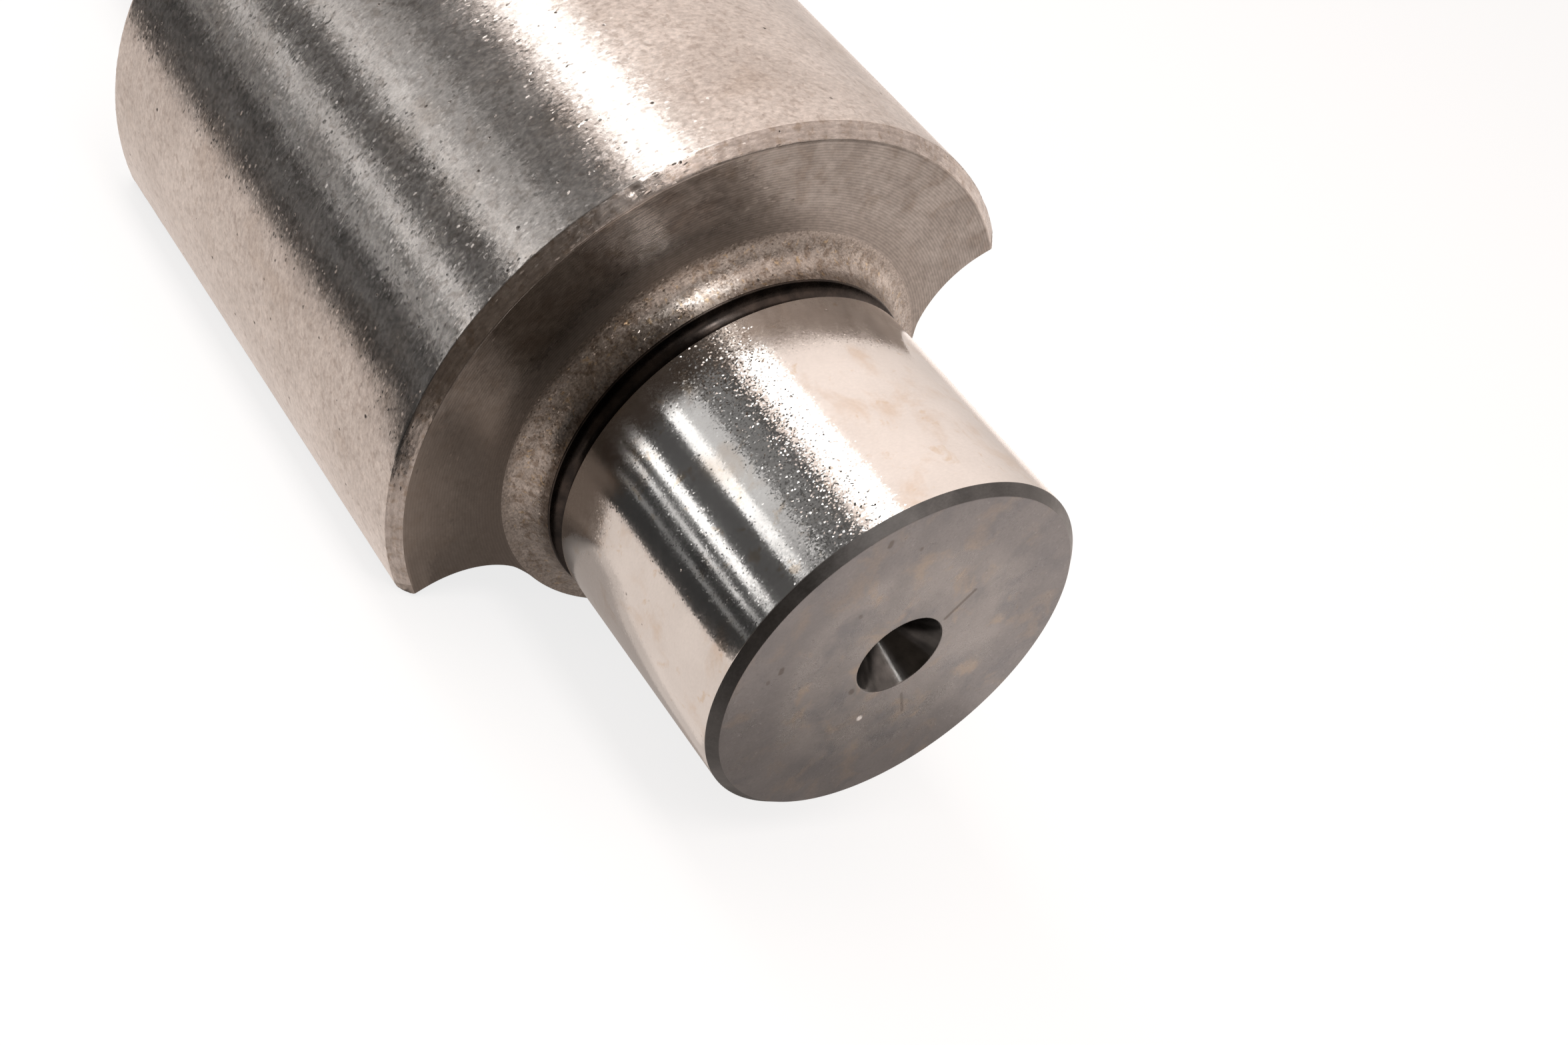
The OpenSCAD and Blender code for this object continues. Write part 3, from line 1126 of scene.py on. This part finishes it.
@dataclass
class ShaftBody:
    """The whole shaft, one piece of steel."""

    sizes: ShaftSizes
    finishes: dict[Zone, SteelFinish]
    edge_round: float = 0.12
    seat_round: float = 0.25
    cone_round: float = 0.15
    pilot_round: float = 0.1
    groove_round: float = 0.03
    groove_gap: float = 0.02
    inside: float = 0.01
    lobe_cuts: int = 26
    face_cuts: int = 10
    groove_cuts: int = 12
    fillet_cuts: int = 10
    face_rings: int = 2
    rim_rings: int = 8

    def centre(self, start: float, way: int) -> list[Corner]:
        """Corners of a machining centre, from its drill point out to its mouth.

        Args:
            start: station of the end face.
            way: 1 where the hole runs towards the rear, -1 towards the front.

        Returns:
            The corners.
        """
        s = self.sizes
        cone = (s.centre_mouth_r - s.centre_pilot_r) / math.tan(math.radians(s.centre_half_angle))
        point = s.centre_pilot_r / math.tan(math.radians(s.drill_half_angle))
        floor = cone + s.centre_pilot_l
        return [
            (start + way * (floor + point), 0.0, 0.0, Zone.CENTRE, 3),
            (start + way * floor, s.centre_pilot_r, self.pilot_round, Zone.CENTRE, 1),
            (start + way * cone, s.centre_pilot_r, self.cone_round, Zone.CENTRE, 4),
            (start, s.centre_mouth_r, self.cone_round, Zone.END_FACE, 6),
        ]

    def bearing_end(self, stations: Stations, face: float, way: int) -> None:
        """Undercut, collar and fillet of one bearing end, in the order of the stations.

        Args:
            stations: the stations that they are added to.
            face: station of the lobe's face.
            way: 1 for the front end, -1 for the rear end.
        """
        s = self.sizes
        groove_r = s.undercut_w / 2
        groove_x = face - way * (s.collar_l + groove_r)
        bottom = arc((0, s.journal_r - s.undercut_depth + groove_r), groove_r, 180, 360,
                     self.groove_cuts)
        lip = face - way * s.collar_l
        fillet = arc((-s.collar_fillet, s.collar_r + s.collar_fillet), s.collar_fillet, -90, 0,
                     self.fillet_cuts)
        corner = rounded(np.array([lip, bottom[-1][1]]), np.array([lip, s.collar_r]),
                         np.array([lip + way, s.collar_r]), self.edge_round, ROUND_CUTS)
        parts = [(bottom * [way, 1] + [groove_x, 0], Zone.UNDERCUT),
                 # The lip's rounded corner takes the groove's dark finish too, so the painted shade
                 # of the groove runs over it.
                 (corner, Zone.UNDERCUT),
                 (fillet * [way, 1] + [face, 0], Zone.COLLAR)]
        for points, zone in parts[::way]:
            stations.run(points[::way], zone)

    def rim_zone(self, ring: int) -> Zone:
        """Finish between two of the rim's rings, counted from the lobe's face."""
        if ring < self.face_rings:
            return Zone.LOBE_FACE
        return Zone.RIM if ring < self.rim_rings else Zone.LOBE

    def lobe_rings(self, stations: Stations) -> None:
        """Rings of the lobe: both faces, both rims and the turned length between them."""
        s = self.sizes
        inner = s.collar_r + s.collar_fillet
        top = s.lobe_r - self.inside
        low = top - s.rim_chamfer_r
        slope = s.rim_chamfer_r / s.rim_chamfer_l
        # Distance behind the face, radius, share of the edge break, and wear
        rim = [
            (0.0, low - 0.3, 1.2, 0.1), (0.0, low - 0.07, 1.0, 0.4),
            (0.03, low - 0.01, 0.85, 1.0), (0.1, low + 0.1 * slope, 0.65, 1.0),
            (0.4, low + 0.4 * slope, 0.3, 0.9), (0.7, low + 0.7 * slope, 0.12, 0.9),
            (1.0, low + 1.0 * slope, 0.04, 1.0), (1.22, top - 0.08, 0.01, 1.0),
            (1.31, top - 0.02, 0.002, 1.0), (1.42, top, 0.0, 0.8),
            (1.7, top, 0.0, 0.35), (2.2, top, 0.0, 0.0),
        ]
        spans = np.linspace(0, 1, self.face_cuts + 1)[1:-1]
        _, face_r, face_edge, _ = rim[0]
        last = rim[-1][0]
        for t in spans:
            stations.add(s.front_face, inner, Zone.LOBE_FACE, t, face_r, face_edge)
        for k, (dx, r, edge, wear) in enumerate(rim):
            stations.add(s.front_face + dx, inner, self.rim_zone(k), 1.0, r, edge, wear, dx / last)
        for x in np.linspace(s.front_face + last, s.rear_face - last, self.lobe_cuts + 1)[1:-1]:
            stations.add(x, inner, Zone.LOBE, 1.0, top, 0.0, 0.0, 1.0)
        for k, (dx, r, edge, wear) in reversed(list(enumerate(rim))):
            stations.add(s.rear_face - dx, inner, self.rim_zone(k - 1), 1.0, r, edge, wear,
                         dx / last)
        for t in spans[::-1]:
            stations.add(s.rear_face, inner, Zone.LOBE_FACE, t, face_r, face_edge)

    def stations(self) -> Stations:
        """All the stations, from the front centre's drill point to the rear one's."""
        s, r = self.sizes, self.edge_round
        made = Stations()
        groove_top = s.journal_r - s.undercut_depth + s.undercut_w / 2 - self.groove_gap
        made.line([
            *self.centre(0.0, 1),
            (0.0, s.journal_r - s.journal_chamfer, r, Zone.END_CHAMFER, 1),
            (s.journal_chamfer, s.journal_r, r, Zone.JOURNAL, 6),
            (s.front_journal_l, s.journal_r, self.groove_round, Zone.UNDERCUT, 1),
            (s.front_journal_l, groove_top, 0.0, Zone.UNDERCUT, 1),
        ])
        self.bearing_end(made, s.front_face, 1)
        made.zone[-1] = int(Zone.LOBE_FACE)
        self.lobe_rings(made)
        self.bearing_end(made, s.rear_face, -1)
        rear = s.seat_start - s.rear_journal_l
        made.line([
            (rear, groove_top, 0.0, Zone.UNDERCUT, 1),
            (rear, s.journal_r, self.groove_round, Zone.JOURNAL, 6),
            (s.seat_start - s.journal_chamfer, s.journal_r, r, Zone.END_CHAMFER, 1),
            (s.seat_start, s.journal_r - s.journal_chamfer, r, Zone.END_FACE, 2),
            (s.seat_start, s.seat_r, self.seat_round, Zone.SEAT, 6),
            (s.length - s.seat_chamfer, s.seat_r, r, Zone.END_CHAMFER, 1),
            (s.length, s.seat_r - s.seat_chamfer, r, Zone.END_FACE, 5),
            *self.rear_centre(),
        ])
        return made

    def rear_centre(self) -> list[Corner]:
        """Corners of the rear centre, from its mouth to its drill point."""
        corners = self.centre(self.sizes.length, -1)[::-1]
        parts = (4, 1, 3, 1)
        return [(x, r, rounding, Zone.CENTRE, cuts)
                for (x, r, rounding, _, _), cuts in zip(corners, parts)]

    def build(self) -> bpy.types.Object:
        """Builds and dresses the shaft.

        Returns:
            The shaft's object, riding on its body in place of its solid.
        """
        stations = self.stations()
        outline = Outline(self.sizes)
        guide = bpy.data.objects.new("outline_guide", outline.mesh())
        shaft = bpy.data.objects.new("shaft", stations.mesh(self.sizes.origin))
        for made in (guide, shaft):
            bpy.context.scene.collection.objects.link(made)
        tree = SkinTree(len(stations.x), len(guide.data.vertices))
        materials = {zone: finish.build() for zone, finish in self.finishes.items()}
        group = tree.build(materials)
        modifier = shaft.modifiers.new("skin", "NODES")
        modifier.node_group = group
        sockets = {item.name: item.identifier for item in group.interface.items_tree
                   if item.in_out == "INPUT"}
        modifier[sockets["outline"]] = guide
        modifier[sockets["lean"]] = self.sizes.lean
        for name in SkinTree.INPUTS:
            modifier[sockets[name]] = float(getattr(tree, name))
        depsgraph = bpy.context.evaluated_depsgraph_get()
        mesh = bpy.data.meshes.new_from_object(shaft.evaluated_get(depsgraph), depsgraph=depsgraph)
        shaft.modifiers.remove(modifier)
        shaft.data = mesh
        bpy.data.objects.remove(guide)
        for name in ("nick", "rough", "zone"):
            mesh.attributes.remove(mesh.attributes[name])
        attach(shaft, "root")
        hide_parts("balancer_shaft")
        return shaft


# Studio and camera


@dataclass(frozen=True)
class Strip:
    """A long card beside the shaft, which the journal mirrors at one angle to the camera."""

    name: str
    angle: float
    spread: float
    reach: float
    light: float
    start: float | None = None
    end: float = 520.0


@dataclass(frozen=True)
class Patch:
    """A small card, by its corners in millimetres, that only the steel shows."""

    name: str
    corners: Sequence[XYZ]
    light: float
    tint: RGB = (1.0, 0.88, 0.81)


@dataclass(frozen=True)
class Softbox:
    """A soft lamp that faces the journal and doesn't show in the steel.

    Its angle is in degrees from +Y up and its reach in millimetres, as a strip's are. Its
    length, its width and its place along the shaft are in metres, its power in watts.
    """

    name: str
    angle: float
    reach: float
    length: float
    width: float
    along: float
    power: float


def oblong(low: XY, high: XY) -> list[XY]:
    """The four corners between two opposite ones."""
    return [low, (high[0], low[1]), high, (low[0], high[1])]


def lying(corners: Iterable[XY], height: float = TABLE) -> list[XYZ]:
    """Corners of a level card, from their X and Y."""
    return [(x, y, height) for x, y in corners]


def standing(x: float, corners: Iterable[XY]) -> list[XYZ]:
    """Corners of a card that stands across the shaft, from their Y and Z."""
    return [(x, y, z) for y, z in corners]


# Edges of the journal's shade on the floor, by X and Y, as the steel shows them to the camera
SHADE_EDGE = [(-6, 11), (2, 13.5), (7.5, 16.8), (10, 18.5), (12, 21), (14, 23), (19, 25)]
SHADE_CORE = [(-6, 7), (2, 9.5), (7.5, 13), (10, 15), (12, 17.5), (14, 20), (19, 22.5)]


@dataclass
class Studio:
    """Pale floor, soft light, a dark drape and the cards that shine in the steel."""

    sizes: ShaftSizes
    view_angle: float = 31.0
    horizon: RGB = (0.78, 0.69, 0.64)
    zenith: RGB = (1.32, 1.15, 1.06)
    zenith_from: float = 0.9
    floor_size: float = 6.0
    floor_colour: RGB = (0.66, 0.633, 0.615)
    floor_white: float = 0.8
    floor_mirrored: float = 0.05
    journal_end: float = 112.0
    lobe_share: float = 0.66
    card_slope: float = 0.62
    card_back: float = 15.0
    low_light: float = 0.04
    drape_light: float = 0.09
    front_light: float = 0.14
    front_tint: RGB = (1.0, 0.82, 0.68)
    drape_side: tuple[XY, ...] = (
        (150.0, -23.0), (176.0, -10.0), (190.0, 40.0), (188.0, 110.0), (176.0, 180.0), (158.0, 232.0))
    drape_front: tuple[XY, ...] = (
        (-110.0, -23.2), (-330.0, -23.0), (-345.0, 20.0), (-350.0, 75.0))
    lamp: Softbox = Softbox("main_softbox", 71.0, 620.0, 1.8, 0.165, 0.55, 9.0)
    strips: tuple[Strip, ...] = (
        Strip("low_streak", -26.8, 3.0, 50.0, 0.3),
        Strip("thin_streak", -16.3, 2.8, 85.0, 1.25),
        Strip("lower_streak", -6.4, 5.7, 135.0, 2.1),
        Strip("upper_streak", 17.5, 7.6, 135.0, 1.8),
        Strip("grey_card", 27.5, 13.0, 140.0, 0.82),
        Strip("dim_card", 42.0, 16.0, 145.0, 0.27),
        Strip("main_card", 71.0, 15.5, 620.0, 3.2, -60.0, 1450.0),
        Strip("front_card", 65.0, 8.0, 620.0, 14.0, -640.0, -60.0),
    )
    patches: tuple[Patch, ...] = (
        Patch("pale_table", lying([*SHADE_EDGE, (900, 25), (900, 52), (46, 50), (34, 42), (-6, 42)]),
              0.9),
        Patch("half_shade", lying([*SHADE_CORE, *reversed(SHADE_EDGE)]), 0.66),
        Patch("under_shade", lying([(-6, -5), (19, -5), *reversed(SHADE_CORE)]), 0.42),
        Patch("far_table", lying([(-6, 42), (4.5, 42), (6, 46), (7, 49), (5, 56), (-6, 56)], -23.1),
              0.9),
        Patch("gap_shade", lying(oblong((-14, -45), (-6, 6))), 0.3),
        Patch("near_table", lying(oblong((-27, 6), (-6, 24))), 0.65),
        Patch("table_shade", lying(oblong((-27, 24), (-6, 43))), 0.4),
        Patch("front_shade", lying(oblong((-112, 4), (-27, 43))), 0.25),
        Patch("end_shade", lying(oblong((-31, -45), (-14, 6))), 0.56),
        Patch("near_dim", standing(-27, [
            (-56, 36), (44, 36), (44, 50), (-28, 50), (-28, 67), (-56, 67)]), 0.6),
        Patch("high_dim", standing(-27, oblong((-28, 50), (44, 67))), 0.2),
        Patch("front_glint", standing(-400, [
            (-8, 105), (-95, 105), (45, 440), (60, 520), (240, 520), (200, 440), (110, 360)]), 3.2),
        Patch("low_dim", standing(-27, oblong((-56, 20), (-28, 36))), 0.65),
        Patch("back_card", [(x, -400, z) for x, z in oblong((-250, -20), (120, 190))], 1.5),
    )

    def build(self) -> None:
        """Sets up the world, the floor, the drape, the cards and the lamp."""
        self.world()
        self.floor()
        self.drape()
        for strip in self.strips:
            self.card(strip)
        for patch in self.patches:
            made = self.sheet(patch.name, np.array(patch.corners) * MM)
            made.data.materials.append(self.glow(patch.name, patch.light, patch.tint))
            self.only_mirrored(made)
        self.softbox(self.lamp)

    def world(self) -> None:
        """A pale surround: white to the camera, a little dimmer towards the horizon."""
        world = bpy.data.worlds.new("surround")
        bpy.context.scene.world = world
        world.use_nodes = True
        tree = Tree(world.node_tree)
        world.node_tree.nodes.clear()
        path = tree.node("ShaderNodeLightPath").outputs
        height = tree.separate(tree.node("ShaderNodeTexCoord").outputs["Generated"])["Z"]
        shade = tree.node("ShaderNodeMix", {
            "Factor": tree.spread(height, 0.0, self.zenith_from), 6: (*self.horizon, 1),
            7: (*self.zenith, 1)}, data_type="RGBA")
        dim = tree.node("ShaderNodeBackground", {"Color": shade.outputs[2], "Strength": 1.0})
        white = tree.node("ShaderNodeBackground", {"Color": (1, 1, 1, 1), "Strength": 1.0})
        seen = tree.node("ShaderNodeMixShader", {
            0: path["Is Camera Ray"], 1: dim.outputs[0], 2: white.outputs[0]})
        tree.node("ShaderNodeOutputWorld", {"Surface": seen.outputs[0]})

    def floor(self) -> None:
        """The floor under the shaft: white to the camera and in the steel, with its shadow."""
        half = self.floor_size / 2
        z = -self.sizes.core_r * MM
        floor = self.sheet("floor", lying(oblong((-half, -half), (half, half)), z))
        material = empty_material("pale_floor")
        tree = Tree(material.node_tree)
        path = tree.node("ShaderNodeLightPath").outputs
        mirrored = tree.math("MAXIMUM", path["Is Glossy Ray"], path["Is Transmission Ray"])
        share = tree.math("MAXIMUM",
                          tree.math("MULTIPLY", path["Is Camera Ray"], self.floor_white),
                          tree.math("MULTIPLY", mirrored, self.floor_mirrored))
        lit = tree.node("ShaderNodeBsdfDiffuse", {"Color": (*self.floor_colour, 1)})
        white = tree.node("ShaderNodeEmission", {"Color": (1, 1, 1, 1), "Strength": 1.0})
        mix = tree.node("ShaderNodeMixShader", {
            0: share, 1: lit.outputs[0], 2: white.outputs[0]})
        tree.node("ShaderNodeOutputMaterial", {"Surface": mix.outputs[0]})
        floor.data.materials.append(material)

    def sheet(self, name: str, corners: Sequence[Sequence[float]]) -> bpy.types.Object:
        """A flat sheet of the studio, with its corners in metres."""
        mesh = bpy.data.meshes.new(name)
        mesh.from_pydata([tuple(c) for c in corners], [], [tuple(range(len(corners)))])
        made = bpy.data.objects.new(name, mesh)
        bpy.context.scene.collection.objects.link(made)
        return made

    def glow(self, name: str, light: float, tint: RGB = (1.0, 1.0, 1.0)) -> bpy.types.Material:
        """A plain glowing card's material."""
        material = empty_material(name)
        tree = Tree(material.node_tree)
        glow = tree.node("ShaderNodeEmission", {"Color": (*tint, 1), "Strength": light})
        tree.node("ShaderNodeOutputMaterial", {"Surface": glow.outputs[0]})
        return material

    def only_mirrored(self, made: bpy.types.Object) -> None:
        """Lets a card show in the steel alone."""
        made.visible_camera = False
        made.visible_diffuse = False
        made.visible_shadow = False
        made.visible_transmission = False
        made.visible_volume_scatter = False

    def mirrored_place(self, angle: float, reach: float) -> np.ndarray:
        """Place, in the plane across the shaft, that the journal shows to the camera.

        Args:
            angle: direction in which the steel mirrors it, in degrees from +Y up.
            reach: distance from the journal's surface, in millimetres.

        Returns:
            Its Y and Z, in millimetres.
        """
        normal = math.radians((angle + self.view_angle) / 2)
        way = math.radians(angle)
        surface = self.sizes.journal_r * np.array([math.cos(normal), math.sin(normal)])
        return surface + reach * np.array([math.cos(way), math.sin(way)])

    def card(self, strip: Strip) -> None:
        """Hangs one strip, in two lengths where the journal and then the lobe show it."""
        low = self.mirrored_place(strip.angle - strip.spread / 2, strip.reach) * MM
        high = self.mirrored_place(strip.angle + strip.spread / 2, strip.reach) * MM
        if strip.start is None:
            front = self.card_slope * strip.reach - self.card_back
            parts = [(front, self.journal_end, strip.light),
                     (self.journal_end, strip.end, strip.light * self.lobe_share)]
        else:
            parts = [(strip.start, strip.end, strip.light)]
        for start, end, light in parts:
            start, end = start * MM, end * MM
            made = self.sheet(strip.name, [(start, *low), (end, *low), (end, *high), (start, *high)])
            made.data.materials.append(self.glow(strip.name, light))
            self.only_mirrored(made)

    def drape(self) -> None:
        """The dark drape on the camera's side: low over the floor, then up behind it."""
        side, front = self.drape_side, self.drape_front
        low = self.glow("low_drape", self.low_light)
        near = self.glow("drape", self.drape_light)
        far = self.glow("front_drape", self.front_light, self.front_tint)
        sheets = [
            ([(-400, 43, -23.2), (7, 43, -23.2), (7, 150, -23), (-400, 150, -23)], far),
            ([(7, 42, -23.2), (34, 42, -23.2), (46, 50, -23.2), (900, 52, -23.2), (900, 150, -23),
              (7, 150, -23)], low)]
        for (y, z), (y2, z2) in zip(side[:-1], side[1:]):
            for start, end, material in ((-400.0, 20.0, far), (20.0, 900.0, near)):
                sheets.append(([(start, y, z), (end, y, z), (end, y2, z2), (start, y2, z2)],
                               material))
        for (x, z), (x2, z2) in zip(front[:-1], front[1:]):
            sheets.append(([(x, -60.0, z), (x, 190.0, z), (x2, 190.0, z2), (x2, -60.0, z2)], far))
        sheets.append(([(-450.0, 158.0, 232.0), (-125.0, 158.0, 232.0), (-125.0, 122.0, 278.0),
                        (-450.0, 122.0, 278.0)], far))
        for k, (corners, material) in enumerate(sheets):
            made = self.sheet(f"drape_{k}", np.array(corners) * MM)
            made.data.materials.append(material)
            self.only_mirrored(made)

    def softbox(self, box: Softbox) -> None:
        """Hangs the lamp that lights the floor and throws the soft shadow."""
        data = bpy.data.lights.new(box.name, "AREA")
        data.shape = "RECTANGLE"
        data.size, data.size_y = box.length, box.width
        data.energy = box.power
        lamp = bpy.data.objects.new(box.name, data)
        bpy.context.scene.collection.objects.link(lamp)
        y, z = self.mirrored_place(box.angle, box.reach) * MM
        back = Vector((0.0, y, z)).normalized()
        long = Vector((1.0, 0.0, 0.0))
        turn = Matrix((long, back.cross(long), back)).transposed()
        lamp.matrix_world = Matrix.Translation((box.along, y, z)) @ turn.to_4x4()
        lamp.visible_camera = False
        lamp.visible_glossy = False


@dataclass
class PhotoCamera:
    """The camera at the photograph's place, in millimetres and the row's axes."""

    eye: XYZ = (-106.467, 154.127, 91.378)
    right: XYZ = (-0.53037, -0.68352, 0.50150)
    up: XYZ = (0.66368, 0.03330, 0.74727)
    forward: XYZ = (0.52747, -0.72917, -0.43598)
    lens: float = 50.947
    sensor: float = 36.0
    clip: tuple[float, float] = (0.005, 50.0)

    def build(self) -> bpy.types.Object:
        """Sets up the camera."""
        data = bpy.data.cameras.new("photo_camera")
        data.lens = self.lens
        data.sensor_width = self.sensor
        data.sensor_fit = "HORIZONTAL"
        data.clip_start, data.clip_end = self.clip
        camera = bpy.data.objects.new("photo_camera", data)
        bpy.context.scene.collection.objects.link(camera)
        axes = Matrix((self.right, self.up, -Vector(self.forward))).transposed()
        camera.matrix_world = Matrix.Translation(Vector(self.eye) * MM) @ axes.to_4x4()
        bpy.context.scene.camera = camera
        return camera


def main() -> None:
    """Builds the shaft, the studio and the camera."""
    logging.basicConfig(level=logging.INFO, format="%(name)s: %(message)s")
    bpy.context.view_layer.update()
    sizes = ShaftSizes.from_record(frame["record"])
    finishes = shaft_finishes(-sizes.origin, sizes.front_face - sizes.origin)
    shaft = ShaftBody(sizes, finishes).build()
    log.info("%s: %d points, %d faces, %d finishes", shaft.name, len(shaft.data.vertices),
             len(shaft.data.polygons), len(shaft.data.materials))
    Studio(sizes).build()
    camera = PhotoCamera().build()
    log.info("%s: %.1f mm lens", camera.name, camera.data.lens)
    bpy.context.scene.view_settings.view_transform = "Standard"


if __name__ == "__main__":
    main()
